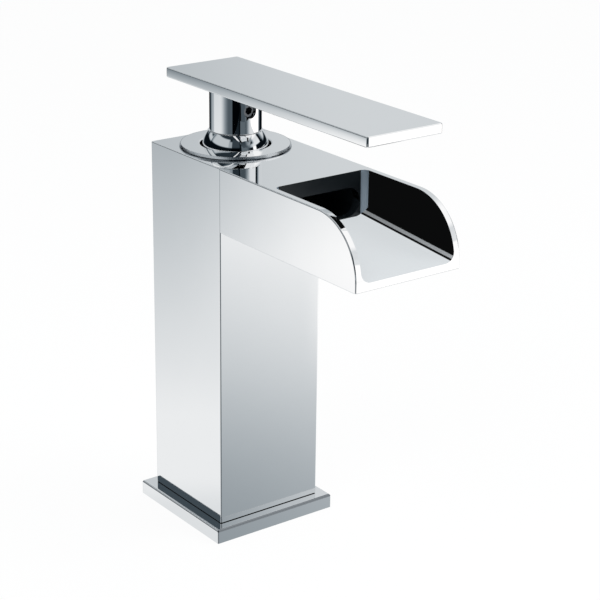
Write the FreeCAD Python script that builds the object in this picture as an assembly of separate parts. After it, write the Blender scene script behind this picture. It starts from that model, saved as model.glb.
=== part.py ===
import FreeCAD, Part
import math
import os

# Waterfall basin faucet. Millimetres, +Z up. The origin is the centre of the
# base plate's underside; the spout and the lever point towards -Y.

V = FreeCAD.Vector
same = 1e-3                 # places closer than this count as one
X_AXIS, Y_AXIS, Z_AXIS = V(1, 0, 0), V(0, 1, 0), V(0, 0, 1)

# ---- driving dimensions: what shows -----------------------------------------
base_side = 50.0            # square base plate
base_height = 5.2
base_round = 0.8            # its upper edges
column_side = 42.0          # square column, and the spout's width
body_top = 135.75           # top of the column above the basin
edge_round = 0.4            # polished outer edges

spout_reach = 72.8          # from the column's front to the lip
lip_height = 2.8            # upright face at the lip, and the floor there
nose_radius = 19.5          # quarter circle of the spout's side walls
trough_wall = 2.3           # side walls of the trough
trough_length = 45.6        # from the lip to the trough's back wall
floor_fall = 3.7            # the floor drops by this towards the lip
side_round = 3.6            # from the trough's floor up its side walls
back_round = 2.2            # upright corners at its back wall
slot_height = 10.2          # outlet slot in the trough's back wall
slot_margin = 2.2           # from the trough's sides to the slot's round ends
slot_sill = 0.3             # from the floor up to the slot

cover_radius = 19.4         # disc on top of the column
cover_height = 1.1
cover_round = 0.5
ball_radius = 11.6          # ball that the handle turns on
ball_drop = 1.05            # its centre lies this far below the column's top
ball_wall = 1.2
ball_bore = 8.6             # round room inside the ball
ball_reach = 105.0          # degrees from the ball's top to its rim
ball_gap = 0.65             # running gap round the ball in the cover disc

hub_radius = 9.0
hub_height = 16.25
hub_ledge = 0.4             # the ball stands out from the hub by this
lever_width = 30.0
lever_length = 110.6
lever_tail = 20.4           # part of the lever behind the hub's axis
lever_thickness = 3.5
lever_corner = 1.0
lever_edge = 0.7

# ---- driving dimensions: what is inside -------------------------------------
shell_wall = 3.0            # column tube and its top
block_fit = 0.2             # blocks inside the tube
lift_angle = 22.0           # lever lift from shut to full flow, degrees
turn_angle = 45.0           # lever turn to each side, degrees

thread_radius = 15.0        # cover skirt and cartridge nut, M30
thread_fit = 0.06
skirt_depth = 7.5           # cover skirt below the column's top

stem_width = 7.0            # square stem
stem_fit = 0.06
hub_roof = 2.2              # hub above the stem's end
arm_length = 15.2           # from the pivot down to the stem's ball end
arm_radius = 2.1
arm_ball = 2.6
pin_radius = 1.5
pin_fit = 0.03
neck_radius = 6.3
neck_base_radius = 8.2
neck_base_height = 3.5
neck_rise = 3.6             # neck above the pivot
slide_fit = 0.15            # play of the stem in the neck

housing_radius = 12.5       # cartridge housing
housing_wall = 1.2
housing_roof = 1.5
seat_fit = 0.1              # housing in the valve body
run_gap = 0.1               # running gaps inside the cartridge
flange_radius = 10.6
flange_height = 2.4
stop_reach = 1.0            # stop lug on the flange
stop_root = 1.0             # the lug starts this far inside it
stop_half = 15.0            # half its width, degrees
carrier_radius = 8.2
carrier_height = 4.2
carrier_floor = 0.7         # under the ball end's pocket
disc_radius = 8.0           # moving ceramic disc
disc_height = 3.0
disc_gap = 0.05
fixed_disc_height = 3.55
mixing_depth = 1.8
port_x = 3.2                # hot and cold ports beside the axis
port_y = -2.0
port_radius = 1.5
outlet_y = 4.5
outlet_radius = 2.4
cartridge_base_height = 5.5
seal_proud = 0.5            # port seals below the cartridge base
port_seal_width = 0.9
port_seal_height = 1.6
key_radius = 1.2            # keys between cartridge base and fixed disc
nut_height = 6.3
nut_lip = 1.5
nut_socket = 9.2            # half the width across the nut's hexagon

gallery_radius = 2.4        # mixed water ways in the valve body
gallery_drop = 9.8          # gallery axis below the cartridge's seat
gallery_wall = 1.6          # metal outside a corner gallery
cross_drop = 4.0            # inlet cross drillings below the seat
valve_foot = 4.6            # metal below the gallery axis
block_corner = 5.0
plug_length = 3.0
plug_fit = 0.02

riser_radius = 4.0          # copper tube
riser_wall = 1.0
riser_x = 9.5
riser_fit = 0.06
socket_depth = 6.0
seal_width = 1.5            # radial width of the tube seals
seal_height = 1.6
seal_fit = 0.05

inlet_block_height = 15.0
inlet_corner = 1.0
boss_radius = 15.4          # round boss of the inlet block, through the base plate
boss_fit = 0.1
inlet_radius = 4.5          # M10 hose ends
inlet_depth = 10.0
stud_radius = 3.4           # M8 stud, core size
stud_depth = 14.0

nipple_radius = 3.2
nipple_bore = 2.2
nipple_inset = 1.0          # nipples lie this far inside the corner galleries
nipple_depth = 2.5
nipple_rise = 10.55         # nipple axis above the spout's underside
chamber_wall = 3.0          # between chamber and trough
chamber_back = 6.0          # behind the chamber, for the screws
chamber_side = 4.2
chamber_floor = 3.55
chamber_roof = 3.15

screw_radius = 2.0          # M4 countersunk screws
head_radius = 3.75
head_height = 2.2
socket_half = 1.25          # half the hexagon socket's width
screw_fit = 0.06
spout_screw_x = 4.5
spout_screw_low = 5.5       # above the spout's underside
spout_screw_high = 16.5
spout_screw_grip = 4.5      # thread in the spout block
base_screw_at = 14.0
base_screw_grip = 6.0
base_screw_room = 1.0       # below the thread's end

gasket_outer = 46.0
gasket_width = 2.5
gasket_height = 1.5

grub_radius = 2.45
grub_fit = 0.05
grub_inset = 1.2            # below the hub's surface
grub_rise = 8.1             # above the hub's lower end
grub_socket = 1.25          # half the hexagon socket's width
grub_socket_depth = 2.0
spigot_radius = 5.0         # hub spigot brazed into the lever
spigot_height = 1.8

# ---- places that follow from them -------------------------------------------
column_half = column_side / 2
column_inner = column_half - shell_wall
block_half = column_inner - block_fit
top_inside = body_top - shell_wall
spout_bottom = body_top - lip_height - nose_radius
lip_y = -column_half - spout_reach
floor_lip_z = spout_bottom + lip_height
floor_back_z = floor_lip_z + floor_fall
trough_half = column_half - trough_wall
trough_back_y = lip_y + trough_length
slot_half = trough_half - slot_margin
slot_low = floor_back_z + slot_sill
slot_high = slot_low + slot_height

pivot_z = body_top - ball_drop
cover_hole = ball_radius + ball_gap
hub_bottom = pivot_z + math.sqrt(ball_radius**2 - (hub_radius + hub_ledge)**2)
lever_bottom = hub_bottom + hub_height
grub_z = hub_bottom + grub_rise

lift = math.radians(lift_angle)
carrier_travel = arm_length * math.sin(lift)
arm_ball_z = pivot_z - arm_length
pocket_floor = arm_ball_z - arm_ball - 2 * run_gap
carrier_bottom = pocket_floor - carrier_floor
carrier_top = carrier_bottom + carrier_height
flange_bottom = carrier_top + run_gap
flange_top = flange_bottom + flange_height
neck_base_top = flange_top + neck_base_height
housing_top = flange_top + run_gap + housing_roof
nut_top = housing_top + nut_lip
disc_bottom = carrier_bottom - disc_height
fixed_top = disc_bottom - disc_gap
fixed_bottom = fixed_top - fixed_disc_height
cartridge_bottom = fixed_bottom - cartridge_base_height
seat_z = cartridge_bottom - seal_proud
housing_inner = housing_radius - housing_wall
carrier_rest_y = carrier_travel / 2

gallery_z = seat_z - gallery_drop
cross_z = seat_z - cross_drop
valve_bottom = gallery_z - valve_foot
gallery_at = block_half - gallery_wall - gallery_radius
nipple_x = gallery_at - nipple_inset
nipple_z = spout_bottom + nipple_rise
inlet_top = base_height + inlet_block_height
nipple_out_y = -column_half - nipple_depth
nipple_in_y = -block_half + nipple_depth


# ---- small shape makers -----------------------------------------------------
def box(x0, x1, y0, y1, z0, z1):
    return Part.makeBox(x1 - x0, y1 - y0, z1 - z0, V(x0, y0, z0))


def centred_box(half_x, half_y, z0, z1):
    return box(-half_x, half_x, -half_y, half_y, z0, z1)


def rod(radius, start, axis, length):
    return Part.makeCylinder(radius, length, start, axis)


def upright(radius, z0, z1, x=0.0, y=0.0):
    return rod(radius, V(x, y, z0), Z_AXIS, z1 - z0)


def ring(outer, inner, start, axis, length):
    return rod(outer, start, axis, length).cut(rod(inner, start, axis, length))


def eased_corner(r, z, round_r, inward, down):
    """Profile points of a small round at the corner (r, z), as two flats."""
    near = round_r * (1 - math.sqrt(0.5))
    return [(r, z + down * round_r), (r + inward * near, z + down * near), (r + inward * round_r, z)]


def turned(profile):
    """Solid of revolution about Z from (radius, height) points."""
    points = [V(r, 0, z) for r, z in profile]
    face = Part.Face(Part.makePolygon(points + points[:1]))
    return face.revolve(V(0, 0, 0), Z_AXIS, 360)


def prism_x(half_width, outline):
    """Solid with a (y, z) outline, spread along X to both sides."""
    points = [V(-half_width, y, z) for y, z in outline]
    face = Part.Face(Part.makePolygon(points + points[:1]))
    return face.extrude(V(2 * half_width, 0, 0))


def hexagon(half_width, start, axis, length):
    """Hexagonal prism, half_width from its axis to each flat."""
    corner = half_width / math.cos(math.pi / 6)
    side = X_AXIS if axis.cross(X_AXIS).Length > 0.5 else Y_AXIS
    other = axis.cross(side)
    points = []
    for k in range(6):
        angle = k * math.pi / 3
        points.append(start + side * (corner * math.cos(angle))
                      + other * (corner * math.sin(angle)))
    return Part.Face(Part.makePolygon(points + points[:1])).extrude(axis * length)


def edges_where(shape, test):
    return [edge for edge in shape.Edges if test(edge.BoundBox)]


def upright_edge(bounds):
    return bounds.XLength < same and bounds.YLength < same


def level_edge(z):
    return lambda bounds: bounds.ZLength < same and abs(bounds.ZMin - z) < same


def corner_points(reach):
    return [(sx * reach, sy * reach) for sx in (-1, 1) for sy in (-1, 1)]


def countersunk_screw(head_at, direction, length):
    """Screw whose flat head face is centred on head_at, driven along direction."""
    head = Part.makeCone(head_radius - screw_fit, screw_radius - screw_fit,
                         head_height, head_at, direction)
    shank = rod(screw_radius - screw_fit, head_at, direction, length)
    socket = hexagon(socket_half, head_at, direction, head_height * 0.7)
    return head.fuse(shank).cut(socket)


def countersunk_hole(head_at, direction, length):
    head = Part.makeCone(head_radius, screw_radius, head_height, head_at, direction)
    return head.fuse(rod(screw_radius, head_at, direction, length + screw_fit))


def tube_seal(tube_radius, start, axis):
    """Square-section rubber seal round a tube."""
    outer = tube_radius + seal_width
    return ring(outer, tube_radius + seal_fit, start, axis, seal_height)


def seal_groove(tube_radius, start, axis):
    back = start - axis * seal_fit
    outer = tube_radius + seal_width + seal_fit
    return rod(outer, back, axis, seal_height + 2 * seal_fit)


# ---- base -------------------------------------------------------------------
def gasket_ring(height, fit):
    outer = gasket_outer / 2 + fit
    inner = gasket_outer / 2 - gasket_width - fit
    return centred_box(outer, outer, 0, height).cut(centred_box(inner, inner, 0, height))


def base_screw_length():
    return base_height + base_screw_grip


def make_base_plate():
    plate = centred_box(base_side / 2, base_side / 2, 0, base_height)
    plate = plate.makeFillet(edge_round, edges_where(plate, upright_edge))
    plate = plate.makeFillet(base_round, edges_where(plate, level_edge(base_height)))
    plate = plate.cut(upright(boss_radius + boss_fit, 0, base_height))
    plate = plate.cut(gasket_ring(gasket_height, seal_fit))
    for x, y in corner_points(base_screw_at):
        plate = plate.cut(countersunk_hole(V(x, y, 0), Z_AXIS, base_screw_length()))
    return plate


def make_base_seal():
    return gasket_ring(gasket_height, 0)


def make_base_screws():
    screws = []
    for x, y in corner_points(base_screw_at):
        screws.append(countersunk_screw(V(x, y, 0), Z_AXIS, base_screw_length()))
    return Part.makeCompound(screws)


# ---- column -----------------------------------------------------------------
def spout_screw_places():
    heights = (spout_bottom + spout_screw_low, spout_bottom + spout_screw_high)
    return [V(sx * spout_screw_x, -column_inner, z) for sx in (-1, 1) for z in heights]


def make_column_shell():
    shell = centred_box(column_half, column_half, base_height, body_top)
    shell = shell.makeFillet(edge_round, edges_where(
        shell, lambda b: upright_edge(b) or level_edge(body_top)(b) and b.YMax > -column_half + same))
    shell = shell.cut(centred_box(column_inner, column_inner, base_height, top_inside))
    shell = shell.cut(upright(thread_radius + 4 * thread_fit, top_inside, body_top))
    for sx in (-1, 1):
        start = V(sx * nipple_x, -column_half, nipple_z)
        shell = shell.cut(rod(nipple_radius + riser_fit, start, Y_AXIS, shell_wall))
    for place in spout_screw_places():
        shell = shell.cut(countersunk_hole(place, -Y_AXIS, shell_wall))
    return shell


# ---- inlet block and risers -------------------------------------------------
def riser_places():
    return [sx * riser_x for sx in (-1, 1)]


def make_inlet_block():
    block = centred_box(block_half, block_half, base_height, inlet_top)
    block = block.makeFillet(inlet_corner, edges_where(block, upright_edge))
    block = block.fuse(upright(boss_radius, 0, base_height))
    for x in riser_places():
        block = block.cut(upright(inlet_radius, 0, inlet_depth, x, port_y))
        block = block.cut(upright(riser_radius - riser_wall, 0, inlet_top, x, port_y))
        block = block.cut(upright(riser_radius + riser_fit, inlet_top - socket_depth, inlet_top,
                                  x, port_y))
        groove = V(x, port_y, inlet_top - socket_depth / 2)
        block = block.cut(seal_groove(riser_radius + riser_fit, groove, Z_AXIS))
    block = block.cut(upright(stud_radius, 0, stud_depth))
    for x, y in corner_points(base_screw_at):
        block = block.cut(upright(screw_radius, base_height, base_screw_length() + base_screw_room, x, y))
    return block


def make_riser(x):
    low = inlet_top - socket_depth
    high = valve_bottom + socket_depth
    return ring(riser_radius, riser_radius - riser_wall, V(x, port_y, low), Z_AXIS, high - low)


def make_riser_seals():
    seals = []
    for x in riser_places():
        for z in (inlet_top - socket_depth / 2, valve_bottom + socket_depth / 2 - seal_height):
            seals.append(tube_seal(riser_radius + riser_fit, V(x, port_y, z), Z_AXIS))
    return Part.makeCompound(seals)


# ---- valve body: the cartridge's seat, drilled from outside and plugged -----
def outlet_drillings():
    """Mixed water: down from the seat, forward, to both sides and up the corners."""
    r = gallery_radius
    ways = [upright(outlet_radius, gallery_z, seat_z, 0, outlet_y)]
    ways.append(rod(r, V(0, -block_half, gallery_z), Y_AXIS, block_half + outlet_y + r))
    ways.append(rod(r, V(-block_half, -gallery_at, gallery_z), X_AXIS, block_half + gallery_at))
    for sx in (-1, 1):
        ways.append(upright(r, valve_bottom, nipple_z + r, sx * gallery_at, -gallery_at))
        start = V(sx * nipple_x, -block_half, nipple_z)
        ways.append(rod(nipple_bore, start, Y_AXIS, block_half - gallery_at))
    return ways


def inlet_drillings():
    ways = []
    for sx in (-1, 1):
        x = sx * riser_x
        ways.append(upright(port_radius, cross_z, seat_z, sx * port_x, port_y))
        start = V(sx * block_half, port_y, cross_z)
        ways.append(rod(port_radius, start, X_AXIS * -sx, block_half - port_x))
        ways.append(upright(riser_radius - riser_wall, valve_bottom, cross_z + 2 * port_radius,
                            x, port_y))
        ways.append(upright(riser_radius + riser_fit, valve_bottom, valve_bottom + socket_depth,
                            x, port_y))
    return ways


def make_valve_body():
    body = centred_box(block_half, block_half, valve_bottom, top_inside)
    body = body.makeFillet(block_corner, edges_where(body, upright_edge))
    for way in outlet_drillings() + inlet_drillings():
        body = body.cut(way)
    body = body.cut(upright(housing_radius + seat_fit, seat_z, top_inside))
    nut_bottom = nut_top - nut_height
    body = body.cut(upright(thread_radius + thread_fit, nut_bottom - 2 * run_gap, top_inside))
    for x in riser_places():
        groove = V(x, port_y, valve_bottom + socket_depth / 2 - seal_height)
        body = body.cut(seal_groove(riser_radius + riser_fit, groove, Z_AXIS))
    for sx in (-1, 1):
        start = V(sx * nipple_x, -block_half, nipple_z)
        body = body.cut(rod(nipple_radius + riser_fit, start, Y_AXIS, nipple_depth))
        body = body.cut(seal_groove(nipple_radius + riser_fit, start + Y_AXIS * seal_fit, Y_AXIS))
    return body


def make_gallery_plugs():
    r = gallery_radius - plug_fit
    plugs = [rod(r, V(0, -block_half, gallery_z), Y_AXIS, gallery_wall),
             rod(r, V(-block_half, -gallery_at, gallery_z), X_AXIS, gallery_wall)]
    for sx in (-1, 1):
        plugs.append(upright(r, valve_bottom, valve_bottom + gallery_wall, sx * gallery_at, -gallery_at))
        plugs.append(rod(port_radius - plug_fit, V(sx * block_half, port_y, cross_z), X_AXIS * -sx,
                         plug_length))
    return Part.makeCompound(plugs)


def make_outlet_nipples():
    nipples = []
    for sx in (-1, 1):
        start = V(sx * nipple_x, nipple_out_y, nipple_z)
        nipples.append(ring(nipple_radius, nipple_bore, start, Y_AXIS, nipple_in_y - nipple_out_y))
    return Part.makeCompound(nipples)


def make_outlet_seals():
    seals = []
    for sx in (-1, 1):
        inner = V(sx * nipple_x, -block_half + seal_fit, nipple_z)
        outer = V(sx * nipple_x, -column_half - seal_fit, nipple_z)
        seals.append(tube_seal(nipple_radius + riser_fit, inner, Y_AXIS))
        seals.append(tube_seal(nipple_radius + riser_fit, outer, -Y_AXIS))
    return Part.makeCompound(seals)


# ---- spout block ------------------------------------------------------------
def spout_profile():
    """Side view of the spout: flat top, quarter-circle nose, short upright lip."""
    y0, z0 = -column_half, spout_bottom
    arc_y = lip_y + nose_radius
    slant = math.sqrt(0.5) * nose_radius
    x = -column_half
    lip_low, lip_high = V(x, lip_y, z0), V(x, lip_y, floor_lip_z)
    arc_mid, arc_end = V(x, arc_y - slant, floor_lip_z + slant), V(x, arc_y, body_top)
    back_high, back_low = V(x, y0, body_top), V(x, y0, z0)
    edges = [Part.LineSegment(back_low, lip_low), Part.LineSegment(lip_low, lip_high),
             Part.Arc(lip_high, arc_mid, arc_end), Part.LineSegment(arc_end, back_high),
             Part.LineSegment(back_high, back_low)]
    return Part.Face(Part.Wire([edge.toShape() for edge in edges]))


def trough_section():
    """The trough seen from its lip: level floor, round into two upright sides."""
    r, low = side_round, floor_back_z
    high = body_top + nose_radius + floor_fall
    slant = math.sqrt(0.5) * r

    def at(x, z):
        return V(x, trough_back_y, z)
    left, right = -trough_half, trough_half
    edges = [Part.LineSegment(at(left, high), at(left, low + r)),
             Part.Arc(at(left, low + r), at(left + r - slant, low + r - slant), at(left + r, low)),
             Part.LineSegment(at(left + r, low), at(right - r, low)),
             Part.Arc(at(right - r, low), at(right - r + slant, low + r - slant), at(right, low + r)),
             Part.LineSegment(at(right, low + r), at(right, high)),
             Part.LineSegment(at(right, high), at(left, high))]
    return Part.Face(Part.Wire([edge.toShape() for edge in edges]))


def trough_cutter():
    """Open trough with a sloping floor; its upright back corners are round."""
    run = 2 * trough_length
    sloped = trough_section().extrude(V(0, -run, -run * floor_fall / trough_length))
    plan = box(-trough_half, trough_half, trough_back_y - run, trough_back_y,
               0, body_top + nose_radius)

    def back_corner(bounds):
        return upright_edge(bounds) and bounds.YMax > trough_back_y - same
    return sloped.common(plan.makeFillet(back_round, edges_where(plan, back_corner)))


def slot_cutter():
    """Wide outlet slot with half-round ends, from the chamber into the trough."""
    r = slot_height / 2
    z = slot_low + r
    x = slot_half - r
    y0 = trough_back_y - chamber_wall
    depth = 2 * chamber_wall
    slot = box(-x, x, y0, y0 + depth, slot_low, slot_high)
    for sx in (-1, 1):
        slot = slot.fuse(rod(r, V(sx * x, y0, z), Y_AXIS, depth))
    return slot


def make_spout_block():
    block = spout_profile().extrude(V(column_side, 0, 0))

    def outer_edge(bounds):
        behind = bounds.YMin > -column_half - same
        across_top = bounds.XLength > trough_half and bounds.ZMin > body_top - same
        return not behind and not across_top
    block = block.makeFillet(edge_round, edges_where(block, outer_edge))
    block = block.cut(trough_cutter())
    chamber_y0 = trough_back_y + chamber_wall
    chamber_y1 = -column_half - chamber_back
    half = column_half - chamber_side
    chamber = box(-half, half, chamber_y0, chamber_y1,
                  spout_bottom + chamber_floor, body_top - chamber_roof)
    block = block.cut(chamber).cut(slot_cutter())
    for sx in (-1, 1):
        start = V(sx * nipple_x, -column_half, nipple_z)
        block = block.cut(rod(nipple_bore, start, -Y_AXIS, chamber_back))
        block = block.cut(rod(nipple_radius + riser_fit, start, -Y_AXIS, nipple_depth))
        block = block.cut(seal_groove(nipple_radius + riser_fit, start - Y_AXIS * seal_fit, -Y_AXIS))
    for place in spout_screw_places():
        start = V(place.x, -column_half, place.z)
        block = block.cut(rod(screw_radius, start, -Y_AXIS, spout_screw_grip + screw_fit))
    return block


def make_spout_screws():
    length = shell_wall + spout_screw_grip
    return Part.makeCompound([countersunk_screw(place, -Y_AXIS, length)
                              for place in spout_screw_places()])


# ---- cartridge --------------------------------------------------------------
def key_places():
    reach = housing_inner - key_radius / 2
    return [sx * reach for sx in (-1, 1)]


def port_places():
    return [(-port_x, port_y, port_radius), (port_x, port_y, port_radius),
            (0, outlet_y, outlet_radius)]


def make_cartridge_base():
    base = upright(housing_inner - thread_fit, cartridge_bottom, fixed_bottom)
    base = base.fuse(upright(housing_radius, cartridge_bottom, cartridge_bottom + housing_wall))
    inside = upright(housing_inner - thread_fit, fixed_bottom - disc_gap, fixed_top)
    for x in key_places():
        key = upright(key_radius - seal_fit, fixed_bottom - disc_gap, fixed_bottom + disc_height, x)
        base = base.fuse(key.common(inside))
    for x, y, radius in port_places():
        base = base.cut(upright(radius, cartridge_bottom, fixed_bottom, x, y))
        groove_top = seat_z + port_seal_height + seal_fit
        outer = radius + port_seal_width + seal_fit
        base = base.cut(upright(outer, cartridge_bottom, groove_top, x, y))
    return base


def make_port_seals():
    seals = []
    for x, y, radius in port_places():
        outer = radius + port_seal_width
        seals.append(ring(outer, radius, V(x, y, seat_z), Z_AXIS, port_seal_height))
    return Part.makeCompound(seals)


def make_fixed_disc():
    disc = upright(housing_inner - run_gap, fixed_bottom, fixed_top)
    for x, y, radius in port_places():
        disc = disc.cut(upright(radius, fixed_bottom, fixed_top, x, y))
    for x in key_places():
        disc = disc.cut(upright(key_radius, fixed_bottom, fixed_bottom + disc_height + seal_fit, x))
    return disc


def make_moving_disc():
    """Its blind pocket joins the inlets to the outlet when the stem slides it."""
    disc = upright(disc_radius, disc_bottom, carrier_bottom, 0, carrier_rest_y)
    reach = port_x + port_radius + housing_wall
    low = port_y - port_radius + carrier_travel - housing_wall / 2
    pocket = box(-reach, reach, low - housing_wall, housing_inner, disc_bottom,
                 disc_bottom + mixing_depth)
    pocket = pocket.common(upright(disc_radius - housing_wall, disc_bottom,
                                   disc_bottom + mixing_depth, 0, carrier_rest_y))
    return disc.cut(pocket)


def make_disc_carrier():
    carrier = upright(carrier_radius, carrier_bottom, carrier_top, 0, carrier_rest_y)
    half = arm_ball + run_gap
    return carrier.cut(centred_box(half, half, pocket_floor, carrier_top))


def stop_sector(inner, outer, half_angle, z0, z1):
    """Part of a ring round Z, centred on +Y."""
    turn = FreeCAD.Rotation(Z_AXIS, 90 - half_angle)
    wedge = Part.makeCylinder(outer, z1 - z0, V(0, 0, 0), Z_AXIS, 2 * half_angle)
    wedge.Placement = FreeCAD.Placement(V(0, 0, z0), turn)
    return wedge.cut(upright(inner, z0, z1))


def make_stem_guide():
    """Rotor: flange in the housing, neck with two cheeks for the stem's pin."""
    neck_top = pivot_z + neck_rise
    guide = turned([(0, flange_bottom), (flange_radius, flange_bottom), (flange_radius, flange_top),
                    (neck_base_radius, flange_top), (neck_base_radius, neck_base_top),
                    (neck_radius, neck_base_top), (neck_radius, neck_top - lever_corner),
                    (neck_radius - lever_corner, neck_top), (0, neck_top)])
    lug = stop_sector(flange_radius - stop_root, flange_radius + stop_reach, stop_half,
                      flange_bottom, flange_top)
    guide = guide.fuse(lug)
    cheek = stem_width / 2 + slide_fit
    fork_bottom = pivot_z - stem_width / 2 - housing_wall
    guide = guide.cut(centred_box(cheek, flange_radius, fork_bottom, neck_top))
    arm_half = arm_ball + slide_fit
    swept = (pivot_z - flange_bottom) * math.tan(lift) + arm_half / math.cos(lift)
    fan = [(arm_half, flange_bottom), (arm_half, pivot_z), (-arm_half / math.cos(lift), pivot_z),
           (-swept, flange_bottom)]
    guide = guide.cut(prism_x(arm_half, fan))
    pin_hole = rod(pin_radius + pin_fit, V(-neck_radius, 0, pivot_z), X_AXIS, 2 * neck_radius)
    return guide.cut(pin_hole)


def make_pivot_pin():
    half = math.sqrt(neck_radius**2 - pin_radius**2)
    return rod(pin_radius, V(-half, 0, pivot_z), X_AXIS, 2 * half)


def make_stem():
    half = stem_width / 2
    stem = centred_box(half, half, pivot_z, lever_bottom - hub_roof - run_gap)
    stem = stem.makeFillet(edge_round, edges_where(stem, upright_edge))
    stem = stem.fuse(rod(half, V(-half, 0, pivot_z), X_AXIS, stem_width))
    stem = stem.fuse(upright(arm_radius, arm_ball_z, pivot_z))
    stem = stem.fuse(Part.makeSphere(arm_ball, V(0, 0, arm_ball_z)))
    return stem.cut(rod(pin_radius + pin_fit, V(-half, 0, pivot_z), X_AXIS, stem_width))


def make_cartridge_housing():
    roof = housing_top - housing_roof
    low = cartridge_bottom + housing_wall
    housing = upright(housing_radius, low, housing_top)
    housing = housing.cut(upright(housing_inner, low, flange_bottom - run_gap))
    housing = housing.cut(upright(flange_radius + 2 * run_gap, flange_bottom - run_gap, roof))
    housing = housing.cut(upright(neck_base_radius + run_gap, roof, housing_top))
    stop_room = stop_sector(flange_radius - stop_root, flange_radius + stop_reach + 2 * run_gap,
                            stop_half + turn_angle, flange_bottom - run_gap, roof)
    return housing.cut(stop_room)


def make_cartridge_nut():
    nut = upright(thread_radius, nut_top - nut_height, nut_top)
    nut = nut.cut(upright(housing_radius + run_gap, nut_top - nut_height, housing_top))
    return nut.cut(hexagon(nut_socket, V(0, 0, housing_top), Z_AXIS, nut_lip))


# ---- cover disc, ball and handle --------------------------------------------
def make_cover_disc():
    low, high = body_top - skirt_depth, body_top + cover_height
    outer = eased_corner(cover_radius, high, cover_round, -1, -1)
    inner = eased_corner(cover_hole, high, cover_round, 1, -1)
    return turned([(cover_hole, low), (thread_radius, low), (thread_radius, body_top),
                   (cover_radius, body_top)] + outer + inner[::-1])


def make_ball_dome():
    """Hollow ball: flat under the hub, open below so that it can tilt."""
    dome = Part.makeSphere(ball_radius, V(0, 0, pivot_z))
    reach = math.radians(ball_reach)
    cone_depth = 2 * ball_radius
    rim_cone = Part.makeCone(0, cone_depth * math.tan(math.pi - reach), cone_depth,
                             V(0, 0, pivot_z), -Z_AXIS)
    dome = dome.cut(rim_cone)
    dome = dome.cut(upright(2 * ball_radius, hub_bottom, hub_bottom + ball_radius))
    dome = dome.cut(upright(ball_bore, pivot_z - ball_radius, hub_bottom - ball_wall))
    half = stem_width / 2 + stem_fit
    return dome.cut(centred_box(half, half, pivot_z, hub_bottom))


def make_handle_hub():
    hub = turned([(0, hub_bottom)] + eased_corner(hub_radius, hub_bottom, edge_round, -1, 1)[::-1]
                 + [(hub_radius, lever_bottom), (0, lever_bottom)])
    hub = hub.fuse(upright(spigot_radius, lever_bottom, lever_bottom + spigot_height))
    half = stem_width / 2 + stem_fit
    hub = hub.cut(centred_box(half, half, hub_bottom, lever_bottom - hub_roof))
    screw_hole = rod(grub_radius + grub_fit, V(0, 0, grub_z), -Y_AXIS, hub_radius)
    return hub.cut(screw_hole)


def make_grub_screw():
    tip_y = -stem_width / 2
    head_y = -hub_radius + grub_inset
    screw = rod(grub_radius, V(0, head_y, grub_z), Y_AXIS, tip_y - head_y)
    socket = hexagon(grub_socket, V(0, head_y, grub_z), Y_AXIS, grub_socket_depth)
    return screw.cut(socket)


def make_lever_plate():
    plate = box(-lever_width / 2, lever_width / 2, lever_tail - lever_length, lever_tail,
                lever_bottom, lever_bottom + lever_thickness)
    plate = plate.makeFillet(lever_corner, edges_where(plate, upright_edge))
    level = edges_where(plate, lambda b: b.ZLength < same)
    plate = plate.makeFillet(lever_edge, level)
    return plate.cut(upright(spigot_radius + plug_fit, lever_bottom, lever_bottom + spigot_height))


# ---- all pieces, from the foot up -------------------------------------------
PIECES = {
    "base_plate": make_base_plate,
    "base_seal": make_base_seal,
    "base_screws": make_base_screws,
    "inlet_block": make_inlet_block,
    "hot_riser": lambda: make_riser(-riser_x),
    "cold_riser": lambda: make_riser(riser_x),
    "riser_seals": make_riser_seals,
    "column_shell": make_column_shell,
    "valve_body": make_valve_body,
    "gallery_plugs": make_gallery_plugs,
    "spout_block": make_spout_block,
    "spout_screws": make_spout_screws,
    "outlet_nipples": make_outlet_nipples,
    "outlet_seals": make_outlet_seals,
    "cartridge_base": make_cartridge_base,
    "port_seals": make_port_seals,
    "fixed_disc": make_fixed_disc,
    "moving_disc": make_moving_disc,
    "disc_carrier": make_disc_carrier,
    "cartridge_housing": make_cartridge_housing,
    "stem_guide": make_stem_guide,
    "pivot_pin": make_pivot_pin,
    "stem": make_stem,
    "cartridge_nut": make_cartridge_nut,
    "cover_disc": make_cover_disc,
    "ball_dome": make_ball_dome,
    "handle_hub": make_handle_hub,
    "grub_screw": make_grub_screw,
    "lever_plate": make_lever_plate,
}

os.makedirs("parts", exist_ok=True)
for name, make in PIECES.items():
    shape = make()
    print(name, "solids", len(shape.Solids), "valid", shape.isValid(),
          "volume", round(shape.Volume, 1), "mm3")
    shape.exportStep("parts/" + name + ".step")
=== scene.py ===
import bpy
import bmesh
import math
from mathutils import Matrix, Vector


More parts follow.
